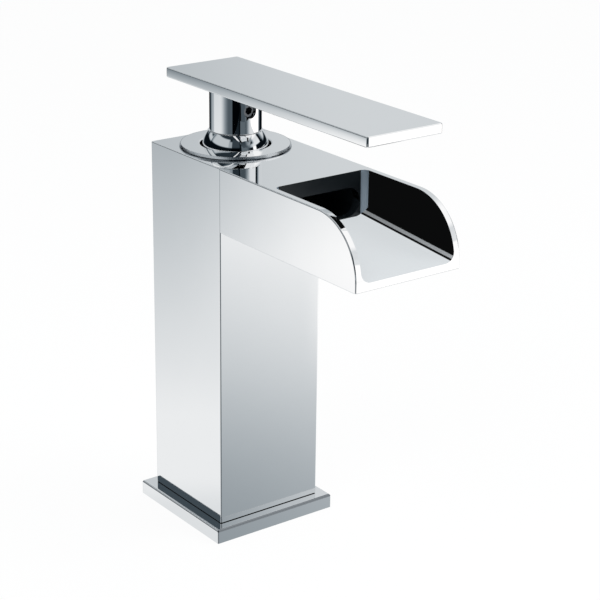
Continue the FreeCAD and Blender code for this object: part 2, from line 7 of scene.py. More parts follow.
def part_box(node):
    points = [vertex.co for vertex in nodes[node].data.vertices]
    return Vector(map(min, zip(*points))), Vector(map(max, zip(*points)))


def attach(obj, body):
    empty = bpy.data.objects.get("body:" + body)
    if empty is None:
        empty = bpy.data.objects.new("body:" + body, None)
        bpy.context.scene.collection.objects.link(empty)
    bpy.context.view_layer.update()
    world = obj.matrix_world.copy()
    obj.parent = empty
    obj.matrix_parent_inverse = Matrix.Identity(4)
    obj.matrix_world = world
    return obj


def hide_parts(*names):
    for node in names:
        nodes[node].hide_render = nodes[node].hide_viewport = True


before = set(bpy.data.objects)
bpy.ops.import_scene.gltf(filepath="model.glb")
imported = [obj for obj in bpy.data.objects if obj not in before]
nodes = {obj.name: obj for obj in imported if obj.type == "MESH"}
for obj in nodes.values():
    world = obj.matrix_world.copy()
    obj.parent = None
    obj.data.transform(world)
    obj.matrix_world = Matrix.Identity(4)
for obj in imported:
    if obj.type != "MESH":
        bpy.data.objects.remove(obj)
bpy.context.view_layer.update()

# ---- 1. Base seal -----------------------------------------------------------
# A square moulded rubber ring in a groove under the base plate. It is pressed
# on the basin and keeps water out of the hole. The CAD solid is kept.
MM = 0.001
NOISE_LOW, NOISE_HIGH = 0.3, 0.7       # the part of 0..1 that a noise value really fills
CLOUD_SCALE, GRAIN_DETAIL = 160, 4


def wire(tree, kind, inputs, **settings):
    """One node with its settings; each input is a socket or a number."""
    node = tree.nodes.new(kind)
    for key, value in settings.items():
        setattr(node, key, value)
    for key, value in inputs.items():
        if isinstance(value, bpy.types.NodeSocket):
            tree.links.new(value, node.inputs[key])
        else:
            node.inputs[key].default_value = value
    return node


def start_material(name):
    """New material, its node tree and its shader."""
    material = bpy.data.materials.new(name)
    material.use_nodes = True
    tree = material.node_tree
    return material, tree, tree.nodes["Principled BSDF"]


def noise_on_piece(tree, scale, detail=2.0, stretch=(1, 1, 1)):
    """Noise on the piece's own coordinates, in waves per metre."""
    place = wire(tree, "ShaderNodeTexCoord", {})
    mapping = wire(tree, "ShaderNodeMapping", {"Vector": place.outputs["Object"], "Scale": stretch})
    noise = wire(tree, "ShaderNodeTexNoise",
                 {"Vector": mapping.outputs["Vector"], "Scale": scale, "Detail": detail})
    return noise.outputs["Fac"]


def spread(tree, value, low, high, socket):
    """Maps a noise value to low..high on a socket."""
    ramp = wire(tree, "ShaderNodeMapRange", {
        "Value": value, "From Min": NOISE_LOW, "From Max": NOISE_HIGH, "To Min": low, "To Max": high})
    tree.links.new(ramp.outputs["Result"], socket)


def two_tones(tree, value, dark, light, socket):
    """Blends two colours by a noise value on a socket."""
    mix = wire(tree, "ShaderNodeMix", {"Factor": value, "A": (*dark, 1), "B": (*light, 1)}, data_type="RGBA")
    tree.links.new(mix.outputs["Result"], socket)


def relief(tree, value, height, shader):
    """Relief of this height, in metres, from a noise value."""
    bump = wire(tree, "ShaderNodeBump", {"Strength": 1.0, "Distance": height, "Height": value})
    tree.links.new(bump.outputs["Normal"], shader.inputs["Normal"])


def make_surface(name, dark, light, rough, metal=0.0, grain=1800, stretch=(1, 1, 1), height=0.01):
    """Two tones in soft clouds, and a fine grain in roughness and relief; height in millimetres."""
    material, tree, shader = start_material(name)
    shader.inputs["Metallic"].default_value = metal
    fine = noise_on_piece(tree, grain, GRAIN_DETAIL, stretch)
    cloud = noise_on_piece(tree, CLOUD_SCALE)
    two_tones(tree, cloud, dark, light, shader.inputs["Base Color"])
    spread(tree, fine, rough[0], rough[1], shader.inputs["Roughness"])
    relief(tree, fine, height * MM, shader)
    return material


def dress(node, material):
    """A CAD solid that stays gets its real material."""
    mesh = nodes[node].data
    mesh.materials.clear()
    mesh.materials.append(material)


rubber = make_surface("black_rubber", (0.012, 0.012, 0.013), (0.03, 0.03, 0.032), (0.5, 0.72), height=0.02)
dress("base_seal", rubber)

# ---- 2. Base plate ----------------------------------------------------------
# A square brass plate, milled, ground and mirror-plated with chrome. The
# column stands on it; four screws from below hold the two together.
CREASE = math.cos(math.radians(38))        # faces that meet under less than this belong to one round
FLAT = math.cos(math.radians(0.05))        # a face this near to a flat's direction is part of the flat
AXES = [Vector(a) for a in ((1, 0, 0), (-1, 0, 0), (0, 1, 0), (0, -1, 0), (0, 0, 1), (0, 0, -1))]
WELD, CUT_WELD, ON_END = 1e-6, 1e-7, 2e-6  # metres within which points are one, or lie on an end
EDGE_REACH = 0.3 * MM                      # points this near to the outer edge move with it
WAVE_SCALE, WAVE_DETAIL, WAVE_HEIGHT = 90, 3, 0.004 * MM
LINE_SCALE, LINE_DETAIL, LINE_STRETCH = 500, 2, (4, 4, 0.15)
MIRROR_ROUGH, DARKER_TONE = (0.012, 0.03), 0.985


def make_chrome(name, tint):
    """Mirror chrome: a trace of polishing waves and of haze."""
    material, tree, shader = start_material(name)
    shader.inputs["Metallic"].default_value = 1.0
    cloud = noise_on_piece(tree, WAVE_SCALE, WAVE_DETAIL)
    lines = noise_on_piece(tree, LINE_SCALE, LINE_DETAIL, LINE_STRETCH)
    dark = tuple(c * DARKER_TONE for c in tint)
    two_tones(tree, cloud, dark, tint, shader.inputs["Base Color"])
    spread(tree, lines, *MIRROR_ROUGH, shader.inputs["Roughness"])
    relief(tree, cloud, WAVE_HEIGHT, shader)
    return material


def polish(mesh, flats=()):
    """Flat faces keep their own normal up to their edges; rounds bend between them."""
    flats = AXES + [Vector(f).normalized() for f in flats]
    bm = bmesh.new()
    bm.from_mesh(mesh)
    bmesh.ops.remove_doubles(bm, verts=bm.verts, dist=WELD)
    bmesh.ops.recalc_face_normals(bm, faces=bm.faces)
    bm.normal_update()
    flat_of = {}
    for face in bm.faces:
        face.smooth = True
        best = max(flats, key=face.normal.dot)
        if face.normal.dot(best) > FLAT:
            flat_of[face.index] = best
    corners = []
    for face in bm.faces:
        own = flat_of.get(face.index)
        for loop in face.loops:
            if own is not None:
                corners.append(tuple(own))
                continue
            near = [f for f in loop.vert.link_faces if f.normal.dot(face.normal) > CREASE]
            level = [flat_of[f.index] for f in near if f.index in flat_of]
            if level:
                corners.append(tuple(max(level, key=face.normal.dot)))
                continue
            total = Vector()
            for other in near:
                total += other.normal * other.calc_area()
            corners.append(tuple(total.normalized() if total.length else face.normal))
    bm.to_mesh(mesh)
    bm.free()
    mesh.normals_split_custom_set(corners)


def chamfer_end(mesh, axis, place, inward, depth):
    """Breaks the outer edge where a piece meets its neighbour, so that a seam shows."""
    bm = bmesh.new()
    bm.from_mesh(mesh)
    bmesh.ops.remove_doubles(bm, verts=bm.verts, dist=WELD)
    normal = Vector((0, 0, 0))
    normal[axis] = 1
    cut = Vector((0, 0, 0))
    cut[axis] = place + inward * depth
    bmesh.ops.bisect_plane(bm, geom=bm.verts[:] + bm.edges[:] + bm.faces[:], dist=CUT_WELD,
                           plane_co=cut, plane_no=normal)
    on_end = [v for v in bm.verts if abs(v.co[axis] - place) < ON_END]
    others = [i for i in range(3) if i != axis]
    high = {i: max(v.co[i] for v in on_end) for i in others}
    low = {i: min(v.co[i] for v in on_end) for i in others}
    for vert in on_end:
        for i in others:
            if high[i] - vert.co[i] < EDGE_REACH:
                vert.co[i] -= depth
            elif vert.co[i] - low[i] < EDGE_REACH:
                vert.co[i] += depth
    bm.to_mesh(mesh)
    bm.free()


def add_piece(name, mesh, material, body, replaced):
    """A piece of its own in place of a CAD node; a mesh with its own material gets None."""
    piece = bpy.data.objects.new(name, mesh)
    bpy.context.scene.collection.objects.link(piece)
    if material:
        mesh.materials.clear()
        mesh.materials.append(material)
    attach(piece, body)
    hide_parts(replaced)


def copy_of(node):
    """The CAD solid's mesh, free to change."""
    return nodes[node].data.copy()


chrome = make_chrome("polished_chrome", (0.93, 0.935, 0.94))
plate_mesh = copy_of("base_plate")
polish(plate_mesh)
add_piece("base_plate_polished", plate_mesh, chrome, "body", "base_plate")
# The rounds of the upper front edge get a dark copy of the chrome: painted shade that dims the highlight
# mirrored in them.
plate_mesh.materials.append(make_chrome("edge_painted_shade_chrome", (0.22, 0.24, 0.26)))
TURNED_FRONT, LEAST_RISE, MOST_RISE = -0.05, 0.05, 0.995     # of a normal on the upper front edge
for face in plate_mesh.polygons:
    if face.normal.y < TURNED_FRONT and LEAST_RISE < face.normal.z < MOST_RISE:
        face.material_index = 1

# ---- 3. Base screws ---------------------------------------------------------
# Four countersunk steel screws with hexagon sockets, driven from below through
# the base plate into the inlet block. Nodes turn one thread and set it out.
SCREW_ROWS, SCREW_SIDES = 76, 48
FIRST_THREAD_ROW = 5.0         # the rows before it are the socket, the head and the cone
SPIN_MOST, SPIN_SEED = 1.0, 7  # radians by which the screws stand turned, drawn once


def start_nodes(name, inputs):
    """Geometry Nodes tree with named inputs; returns the tree and its input sockets."""
    tree = bpy.data.node_groups.new(name, "GeometryNodeTree")
    tree.interface.new_socket("Geometry", in_out="OUTPUT", socket_type="NodeSocketGeometry")
    for label, kind in inputs.items():
        tree.interface.new_socket(label, in_out="INPUT", socket_type="NodeSocket" + kind)
    return tree, tree.nodes.new("NodeGroupInput").outputs


def maths(tree, operation, a, b=0.0, c=0.0):
    """One sum on sockets or numbers."""
    return wire(tree, "ShaderNodeMath", {0: a, 1: b, 2: c}, operation=operation).outputs[0]


def set_out(tree, given, single):
    """Sets one shape on First + Step A + Step B, makes it real and gives the material."""
    line = wire(tree, "GeometryNodeMeshLine", {"Count": given["Count"]})
    index = wire(tree, "GeometryNodeInputIndex", {}).outputs[0]
    place = given["First"]
    for label, share in (("Step A", maths(tree, "MODULO", index, 2.0)),
                         ("Step B", maths(tree, "FLOOR", maths(tree, "DIVIDE", index, 2.0)))):
        step = wire(tree, "ShaderNodeVectorMath", {0: given[label], "Scale": share}, operation="SCALE")
        place = wire(tree, "ShaderNodeVectorMath", {0: place, 1: step.outputs[0]}).outputs[0]
    points = wire(tree, "GeometryNodeSetPosition", {"Geometry": line.outputs["Mesh"], "Position": place})
    spin = wire(tree, "FunctionNodeRandomValue", {"Max": SPIN_MOST, "Seed": SPIN_SEED}, data_type="FLOAT")
    spin = wire(tree, "ShaderNodeCombineXYZ", {"Z": spin.outputs[1]})
    own = wire(tree, "GeometryNodeInstanceOnPoints", {
        "Points": points.outputs["Geometry"], "Instance": single, "Rotation": given["Direction"]})
    own = wire(tree, "GeometryNodeRotateInstances", {
        "Instances": own.outputs["Instances"], "Rotation": spin.outputs[0]})
    real = wire(tree, "GeometryNodeRealizeInstances", {"Geometry": own.outputs[0]})
    painted = wire(tree, "GeometryNodeSetMaterial", {
        "Geometry": real.outputs["Geometry"], "Material": given["Material"]})
    wire(tree, "NodeGroupOutput", {"Geometry": painted.outputs["Geometry"]})


def make_screw_nodes():
    """Screw from its flat head along +Z: socket, cone, helical thread, end."""
    tree, given = start_nodes("socket_screws", {
        "Head Radius": "Float", "Head Height": "Float", "Radius": "Float", "Length": "Float",
        "Pitch": "Float", "Thread Depth": "Float", "Socket Half": "Float", "Socket Depth": "Float",
        "Count": "Int", "First": "Vector", "Step A": "Vector", "Step B": "Vector",
        "Direction": "Rotation", "Material": "Material"})
    grid = wire(tree, "GeometryNodeMeshGrid", {"Size X": 1.0, "Size Y": 1.0,
                                               "Vertices X": SCREW_ROWS, "Vertices Y": SCREW_SIDES + 1})
    here = wire(tree, "ShaderNodeSeparateXYZ", {0: wire(tree, "GeometryNodeInputPosition", {}).outputs[0]})
    row = maths(tree, "ADD", here.outputs["X"], 0.5)
    row = maths(tree, "ROUND", maths(tree, "MULTIPLY", row, SCREW_ROWS - 1.0))
    lap = maths(tree, "ADD", here.outputs["Y"], 0.5)
    angle = maths(tree, "MULTIPLY", lap, 2 * math.pi)
    side = maths(tree, "SUBTRACT", maths(tree, "FLOORED_MODULO", angle, math.pi / 3), math.pi / 6)
    hexagon = maths(tree, "DIVIDE", given["Socket Half"], maths(tree, "COSINE", side))
    along = wire(tree, "ShaderNodeMapRange", {
        "Value": row, "From Min": FIRST_THREAD_ROW - 1.0, "From Max": SCREW_ROWS - 2.0,
        "To Min": given["Head Height"], "To Max": given["Length"]}).outputs["Result"]
    wave = maths(tree, "SUBTRACT", maths(tree, "DIVIDE", along, given["Pitch"]), lap)
    groove = maths(tree, "MULTIPLY", maths(tree, "PINGPONG", wave, 0.5), 2.0)
    thread = maths(tree, "SUBTRACT", given["Radius"], maths(tree, "MULTIPLY", groove, given["Thread Depth"]))
    last = maths(tree, "GREATER_THAN", row, SCREW_ROWS - 1.5)
    thread = maths(tree, "MULTIPLY", thread, maths(tree, "SUBTRACT", 1.0, last))
    radii = (0.0, hexagon, hexagon, given["Head Radius"], given["Radius"], thread)
    heights = (given["Socket Depth"], given["Socket Depth"], 0.0, 0.0, given["Head Height"], along)
    chosen = []
    for values in (radii, heights):
        pick = wire(tree, "GeometryNodeIndexSwitch", {}, data_type="FLOAT")
        while len(pick.index_switch_items) < len(values):
            pick.index_switch_items.new()
        tree.links.new(maths(tree, "MINIMUM", row, FIRST_THREAD_ROW), pick.inputs[0])
        for socket, value in zip(pick.inputs[1:], values):
            if isinstance(value, bpy.types.NodeSocket):
                tree.links.new(value, socket)
            else:
                socket.default_value = value
        chosen.append(pick.outputs[0])
    radius, along = chosen
    place = wire(tree, "ShaderNodeCombineXYZ", {
        "X": maths(tree, "MULTIPLY", radius, maths(tree, "COSINE", angle)),
        "Y": maths(tree, "MULTIPLY", radius, maths(tree, "SINE", angle)), "Z": along})
    turned = wire(tree, "GeometryNodeSetPosition", {
        "Geometry": grid.outputs["Mesh"], "Position": place.outputs[0]})
    closed = wire(tree, "GeometryNodeMergeByDistance", {
        "Geometry": turned.outputs["Geometry"], "Distance": WELD})
    set_out(tree, given, closed.outputs["Geometry"])
    return tree


def grown(name, tree, values):
    """Plain mesh that a node tree makes with these inputs."""
    blank = bpy.data.objects.new(name, bpy.data.meshes.new(name))
    bpy.context.scene.collection.objects.link(blank)
    grow = blank.modifiers.new("grow", "NODES")
    grow.node_group = tree
    for item in tree.interface.items_tree:
        if item.in_out == "INPUT":
            grow[item.identifier] = values[item.name]
    bpy.context.view_layer.update()
    mesh = bpy.data.meshes.new_from_object(blank.evaluated_get(bpy.context.evaluated_depsgraph_get()))
    bpy.data.objects.remove(blank)
    mesh.name = name
    return mesh


screw_nodes = make_screw_nodes()
steel = make_surface("turned_steel", (0.50, 0.51, 0.53), (0.60, 0.61, 0.62), (0.22, 0.36), 1.0, 1400,
                     height=0.004)
M4_SCREW = {"Head Radius": 3.69 * MM, "Head Height": 2.2 * MM, "Radius": 1.94 * MM, "Pitch": 0.7 * MM,
            "Thread Depth": 0.33 * MM, "Socket Half": 1.25 * MM, "Socket Depth": 1.54 * MM,
            "Count": 4, "Material": steel}
base_screw_low, base_screw_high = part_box("base_screws")
BASE_SCREW_AT = 14.0 * MM
screw_mesh = grown("base_screws_threaded", screw_nodes, {
    **M4_SCREW, "Length": base_screw_high[2] - base_screw_low[2],
    "First": (-BASE_SCREW_AT, -BASE_SCREW_AT, base_screw_low[2]),
    "Step A": (2 * BASE_SCREW_AT, 0, 0), "Step B": (0, 2 * BASE_SCREW_AT, 0), "Direction": (0, 0, 0)})
polish(screw_mesh)
add_piece("base_screws_threaded", screw_mesh, None, "body", "base_screws")

# ---- 4. Inlet block ---------------------------------------------------------
# A machined brass block in the column's foot with threaded inlets for the hot
# and the cold hose and for the stud that holds the faucet on the basin.
brass = make_surface("machined_brass", (0.66, 0.45, 0.19), (0.78, 0.57, 0.28), (0.22, 0.4), 1.0, 1500,
                     (0.2, 1, 1), 0.006)
dress("inlet_block", brass)

# ---- 5. Risers and their seals ----------------------------------------------
# Two drawn copper tubes carry hot and cold water up inside the column. Each
# end sits in a bored socket and is sealed there by a rubber ring in a groove.
copper = make_surface("drawn_copper", (0.68, 0.33, 0.19), (0.83, 0.46, 0.31), (0.18, 0.34), 1.0, 900,
                      (1, 1, 0.08), 0.005)
dress("hot_riser", copper)
dress("cold_riser", copper)
SEAL_SECTION, SEAL_OUTER = 0.72, 5.5
RING_SIDES, SECTION_SIDES = 72, 18


def make_ring_nodes():
    """Rubber rings of round section, set out two by two."""
    tree, given = start_nodes("seal_rings", {
        "Ring Radius": "Float", "Section Radius": "Float", "Count": "Int", "First": "Vector",
        "Step A": "Vector", "Step B": "Vector", "Direction": "Rotation", "Material": "Material"})
    way = wire(tree, "GeometryNodeCurvePrimitiveCircle", {
        "Resolution": RING_SIDES, "Radius": given["Ring Radius"]})
    section = wire(tree, "GeometryNodeCurvePrimitiveCircle", {
        "Resolution": SECTION_SIDES, "Radius": given["Section Radius"]})
    ring = wire(tree, "GeometryNodeCurveToMesh", {
        "Curve": way.outputs["Curve"], "Profile Curve": section.outputs["Curve"]})
    set_out(tree, given, ring.outputs["Mesh"])
    return tree


def ring_set(name, node, direction, steps):
    """Four rings that fill the CAD seals' boxes; steps name the two axes they stand along."""
    low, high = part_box(node)
    section, outer = SEAL_SECTION * MM, SEAL_OUTER * MM
    along = 1 if direction[0] else 2
    half = [section if i == along else outer for i in range(3)]
    first = [low[i] + half[i] for i in range(3)]
    span = [high[i] - low[i] - 2 * half[i] for i in range(3)]
    mesh = grown(name, ring_nodes, {
        "Ring Radius": outer - section, "Section Radius": section, "Count": 4, "Material": rubber,
        "First": first, "Direction": direction,
        **{label: [span[i] if i == axis else 0.0 for i in range(3)] for label, axis in steps.items()}})
    for face in mesh.polygons:
        face.use_smooth = True
    add_piece(name, mesh, None, "body", node)


ring_nodes = make_ring_nodes()
ring_set("riser_rings", "riser_seals", (0, 0, 0), {"Step A": 0, "Step B": 2})

# ---- 6. Column --------------------------------------------------------------
# A square brass tube with a closed top, ground flat and plated. Its foot is
# brazed round the inlet block and meets the base plate in a fine joint.
column_mesh = copy_of("column_shell")
column_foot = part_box("column_shell")[0][2]
FOOT_CHAMFER, JOINT_SHADOW_HEIGHT, FACING_UP = 0.26 * MM, 0.25 * MM, 0.9
chamfer_end(column_mesh, 2, column_foot, 1, FOOT_CHAMFER)
polish(column_mesh)
add_piece("column_polished", column_mesh, chrome, "body", "column_shell")
# The faces round the foot, up to the chamfer's top, are black: painted shadow in the fine joint with the
# base plate.
column_mesh.materials.append(make_surface("joint_painted_shadow", (0.004, 0.004, 0.004), (0.01, 0.01, 0.011),
                                          (0.6, 0.8)))
for face in column_mesh.polygons:
    if face.center.z < column_foot + JOINT_SHADOW_HEIGHT and face.normal.z < FACING_UP:
        face.material_index = 1

# ---- 7. Valve body and plugs ------------------------------------------------
# A machined brass block under the column's top. Its upper bore is the
# cartridge's seat; drilled water ways end in pressed brass plugs.
dress("valve_body", brass)
dress("gallery_plugs", brass)

# ---- 8. Outlet nipples and their seals --------------------------------------
# Two short brass tubes lead the mixed water through the column's front wall
# into the spout's chamber. Rubber rings seal both ends.
dress("outlet_nipples", brass)
dress("outlet_seals", rubber)

# ---- 9. Spout ---------------------------------------------------------------
# A solid brass block, milled to an open trough with a wide slot, plated, and
# screwed to the column from inside. Seen from outside a fine seam shows.
SEAM_CHAMFER, FLOOR_FALL, FLOOR_RUN = 0.06 * MM, 3.7, 45.6
spout_mesh = copy_of("spout_block")
spout_low, spout_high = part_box("spout_block")
chamfer_end(spout_mesh, 1, spout_high[1], -1, SEAM_CHAMFER)
polish(spout_mesh, flats=[(0, -FLOOR_FALL, FLOOR_RUN)])
add_piece("spout_polished", spout_mesh, chrome, "body", "spout_block")
TROUGH_HALF, SIDE_ROUND, TROUGH_BACK = 18.7, 3.6, -48.2
BELOW_TROUGH, BELOW_BODY_TOP, NOSE_FROM = 116, 134, -60      # heights, and a place along the spout
NEAR, NEAR_END = 0.05, 0.01            # millimetres by which a face may lie off its place
OVERHANG, NOSE_TURN = -0.01, -0.2      # normals of faces that look down, or forward on the nose
FLOOR_RISE, SIDE_TURN, CORNER_TURN = 0.02, 0.99, -0.02       # of the normals round the trough
BAND_SOFT = 0.04
FLOOR_BAND = (0.15, 0.0, 0.5, 0.62)    # light, metal, roughness, glow: the glow is painted light that stands in for the white cards' light
# Painted reflections up the side round: a dark line, a grey bar with painted glow, and near-black mirror
# walls above it.
SIDE_PAINTED_BANDS = [
    # degrees up the side round where the band starts; light, metal, roughness, glow
    (34, 0.003, 0.9, 0.12, 0.004),
    (46, 0.42, 0.3, 0.4, 0.10),
    (64, 0.0015, 1.0, 0.03, 0.0035),
]
RED_SHARE, BLUE_SHARE, PAINTED_GLOW_COLOUR = 0.97, 1.02, (0.955, 1.0, 1.03, 1)
STREAK_SCALE, STREAK_STRETCH, STREAK_LOW, STREAK_HIGH = 900, (1, 0.1, 1), 0.97, 1.03
LINING_RELIEF, LINING_SPECULAR, SPECULAR_COLOUR = 0.001 * MM, 0.2, (0.05, 0.055, 0.06, 1)


def blend(tree, share, under, over):
    """Goes from one number to another by a share."""
    return wire(tree, "ShaderNodeMix", {0: share, 2: under, 3: over}, data_type="FLOAT").outputs[0]


def make_trough_painted_light():
    """Satin floor made bright by a painted glow, a painted dark reflection line and a painted grey
    reflection bar in the side round, dark mirror walls of painted dark reflection.
    """
    material, tree, shader = start_material("trough_painted_light")
    place = wire(tree, "ShaderNodeTexCoord", {})
    across = wire(tree, "ShaderNodeSeparateXYZ", {0: place.outputs["Object"]}).outputs["X"]
    across = maths(tree, "ABSOLUTE", across)
    values = FLOOR_BAND
    for up, *band in SIDE_PAINTED_BANDS:
        at = (TROUGH_HALF - SIDE_ROUND + SIDE_ROUND * math.sin(math.radians(up))) * MM
        past = wire(tree, "ShaderNodeMapRange", {
            "Value": across, "From Min": at - BAND_SOFT * MM, "From Max": at + BAND_SOFT * MM})
        values = [blend(tree, past.outputs["Result"], under, over) for under, over in zip(values, band)]
    light, metal, rough, glow = values
    grain = noise_on_piece(tree, STREAK_SCALE, GRAIN_DETAIL, STREAK_STRETCH)
    streak = wire(tree, "ShaderNodeMapRange", {"Value": grain, "To Min": STREAK_LOW, "To Max": STREAK_HIGH})
    light = maths(tree, "MULTIPLY", light, streak.outputs["Result"])
    tint = wire(tree, "ShaderNodeCombineColor", {
        "Red": maths(tree, "MULTIPLY", light, RED_SHARE), "Green": light,
        "Blue": maths(tree, "MULTIPLY", light, BLUE_SHARE)})
    tree.links.new(tint.outputs["Color"], shader.inputs["Base Color"])
    tree.links.new(metal, shader.inputs["Metallic"])
    tree.links.new(rough, shader.inputs["Roughness"])
    # The glow is painted light: the trough's floor and the grey bar shine by themselves.
    tree.links.new(glow, shader.inputs["Emission Strength"])
    shader.inputs["Emission Color"].default_value = PAINTED_GLOW_COLOUR
    shader.inputs["Specular IOR Level"].default_value = LINING_SPECULAR
    shader.inputs["Specular Tint"].default_value = SPECULAR_COLOUR
    relief(tree, grain, LINING_RELIEF, shader)
    return material


spout_mesh.materials.append(make_trough_painted_light())
# The back wall of the trough is near black: painted shade in the trough's depth.
spout_mesh.materials.append(make_surface("trough_back_painted_shade", (0.010, 0.014, 0.017), (0.014, 0.019, 0.023),
                                         (0.3, 0.4), 0.2, 500, height=0.0005))
# The upright corner rounds of the trough are blue grey: painted reflection.
spout_mesh.materials.append(make_surface("trough_corner_painted_reflection", (0.36, 0.44, 0.52), (0.40, 0.48, 0.56),
                                         (0.4, 0.5), 0.2, 500, height=0.0005))
PAINTED_TROUGH, BACK_WALL, CORNERS = 1, 2, 3       # the materials above, in their order
# Trough faces get the painted glow and painted reflections of the floor and side round, the painted
# reflection of the corners or the painted shade of the back wall.
for face in spout_mesh.polygons:
    c, n = face.center / MM, face.normal
    if abs(c.x) > TROUGH_HALF + NEAR or c.z < BELOW_TROUGH or n.z < OVERHANG:
        continue
    if c.y < spout_low[1] / MM + NEAR_END or (c.y < NOSE_FROM and n.y < NOSE_TURN):
        continue
    before_back = c.y < TROUGH_BACK - NEAR
    if before_back and (n.z > FLOOR_RISE or abs(n.x) > SIDE_TURN):
        face.material_index = PAINTED_TROUGH
    elif before_back and n.y < CORNER_TURN:
        face.material_index = CORNERS
    elif c.z < BELOW_BODY_TOP:
        face.material_index = BACK_WALL

# ---- 10. Spout screws -------------------------------------------------------
# Four countersunk steel screws inside the column clamp the spout to its front
# wall. They are the same screws as below, set out on the wall.
spout_screw_low, spout_screw_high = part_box("spout_screws")
head_at = M4_SCREW["Head Radius"]
screw_mesh = grown("spout_screws_threaded", screw_nodes, {
    **M4_SCREW, "Length": spout_screw_high[1] - spout_screw_low[1],
    "First": (spout_screw_low[0] + head_at, spout_screw_high[1], spout_screw_low[2] + head_at),
    "Step A": (spout_screw_high[0] - spout_screw_low[0] - 2 * head_at, 0, 0),
    "Step B": (0, 0, spout_screw_high[2] - spout_screw_low[2] - 2 * head_at),
    "Direction": (math.pi / 2, 0, 0)})
polish(screw_mesh)
add_piece("spout_screws_threaded", screw_mesh, None, "body", "spout_screws")

# ---- 11. Cartridge ----------------------------------------------------------
# The plastic base with its three rubber port seals, two lapped ceramic discs,
# the carrier that slides the upper disc, the turning stem guide, all in a
# plastic housing. The steel stem swings on a steel pin through the guide.
plastic = make_surface("cartridge_plastic", (0.66, 0.67, 0.64), (0.76, 0.77, 0.74), (0.42, 0.6), 0.0, 2200,
                       height=0.006)
ceramic = make_surface("lapped_ceramic", (0.84, 0.82, 0.76), (0.90, 0.88, 0.83), (0.08, 0.18), 0.0, 3000,
                       height=0.0008)
for node in ("cartridge_base", "disc_carrier", "stem_guide", "cartridge_housing"):
    dress(node, plastic)
for node in ("fixed_disc", "moving_disc"):
    dress(node, ceramic)
dress("port_seals", rubber)
dress("pivot_pin", steel)
dress("stem", steel)

# ---- 12. Cartridge nut ------------------------------------------------------
# A turned brass nut, screwed into the valve body, which presses the cartridge
# on its seals. A hexagon in its top takes the key.
dress("cartridge_nut", brass)

# ---- 13. Cover disc ---------------------------------------------------------
# A turned brass disc, plated, which screws into the column's top by its skirt
# and holds the cartridge's nut down. Its hole shows the ball.
SIDES = 192


def turn_about_column(name, profile):
    """Closed solid of revolution from (radius, height) points in millimetres."""
    bm = bmesh.new()
    rings = []
    for r, z in profile:
        if r == 0:
            rings.append([bm.verts.new((0, 0, z * MM))])
            continue
        rings.append([bm.verts.new((r * MM * math.cos(2 * math.pi * k / SIDES),
                                    r * MM * math.sin(2 * math.pi * k / SIDES), z * MM))
                      for k in range(SIDES)])
    for a, b in zip(rings, rings[1:] + rings[:1]):
        if len(a) == 1 and len(b) == 1:
            continue
        for k in range(SIDES):
            m = (k + 1) % SIDES
            corners = [a[k % len(a)], a[m % len(a)], b[m % len(b)], b[k % len(b)]]
            bm.faces.new(list(dict.fromkeys(corners)))
    bmesh.ops.recalc_face_normals(bm, faces=bm.faces)
    mesh = bpy.data.meshes.new(name)
    bm.to_mesh(mesh)
    bm.free()
    return mesh


def round_corner(cx, cz, radius, start, end, steps=6):
    """Points of a round about (cx, cz), angles in degrees."""
    out = []
    for k in range(steps + 1):
        a = math.radians(start + (end - start) * k / steps)
        out.append((cx + radius * math.cos(a), cz + radius * math.sin(a)))
    return out


cover_low, cover_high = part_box("cover_disc")
COVER_RADIUS, COVER_HOLE, SKIRT_RADIUS, COVER_ROUND = 19.4, 12.25, 15.0, 0.5
COVER_BEVEL, RIM_FOOT, TOP_LINE = 0.42, 0.32, 0.15
cover_top, cover_foot = cover_high[2] / MM, cover_low[2] / MM
BODY_TOP = 135.75
cover_profile = [(COVER_HOLE, cover_foot), (SKIRT_RADIUS, cover_foot), (SKIRT_RADIUS, BODY_TOP),
                 (COVER_RADIUS, BODY_TOP), (COVER_RADIUS, BODY_TOP + RIM_FOOT),
                 (COVER_RADIUS - COVER_BEVEL, cover_top), (COVER_RADIUS - COVER_BEVEL - TOP_LINE, cover_top)]
cover_profile += round_corner(COVER_HOLE + COVER_ROUND, cover_top - COVER_ROUND, COVER_ROUND, 90, 180)
cover_mesh = turn_about_column("cover_disc_polished", cover_profile)
polish(cover_mesh)
add_piece("cover_disc_polished", cover_mesh, chrome, "body", "cover_disc")
# The outer rim and a fine line on the top next to the bevel get a dark copy of the chrome: painted shade
# that draws dark lines at the disc's edge.
cover_mesh.materials.append(make_chrome("rim_painted_shade_chrome", (0.20, 0.22, 0.24)))
cover_mesh.materials.append(make_surface("rim_satin_chrome", (0.82, 0.84, 0.86), (0.87, 0.89, 0.91),
                                         (0.26, 0.32), 1.0, 400, height=0.0003))
PAINTED_DARK_LINES, SATIN_BEVEL = 1, 2             # the materials above, in their order
RIM_WITHIN = 0.02
for face in cover_mesh.polygons:
    out = math.hypot(face.center.x, face.center.y) / MM
    if out > COVER_RADIUS - RIM_WITHIN or 0 < COVER_RADIUS - COVER_BEVEL - out < TOP_LINE:
        face.material_index = PAINTED_DARK_LINES
    elif out > COVER_RADIUS - COVER_BEVEL:
        face.material_index = SATIN_BEVEL

# ---- 14. Ball dome ----------------------------------------------------------
# A turned brass ball, hollow and open below, plated. It is fixed on the stem
# and turns and tilts with the handle in the cover disc's hole.
BALL_RADIUS, BALL_BORE, BALL_WALL, PIVOT_Z = 11.6, 8.6, 1.2, 134.7
BALL_DIP, BALL_STEPS = 15, 40              # degrees below its middle where the ball ends
HUB_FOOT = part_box("handle_hub")[0][2] / MM
STEM_HALF, CUT_PAST = 3.56, 1              # cutters reach past a surface by the second


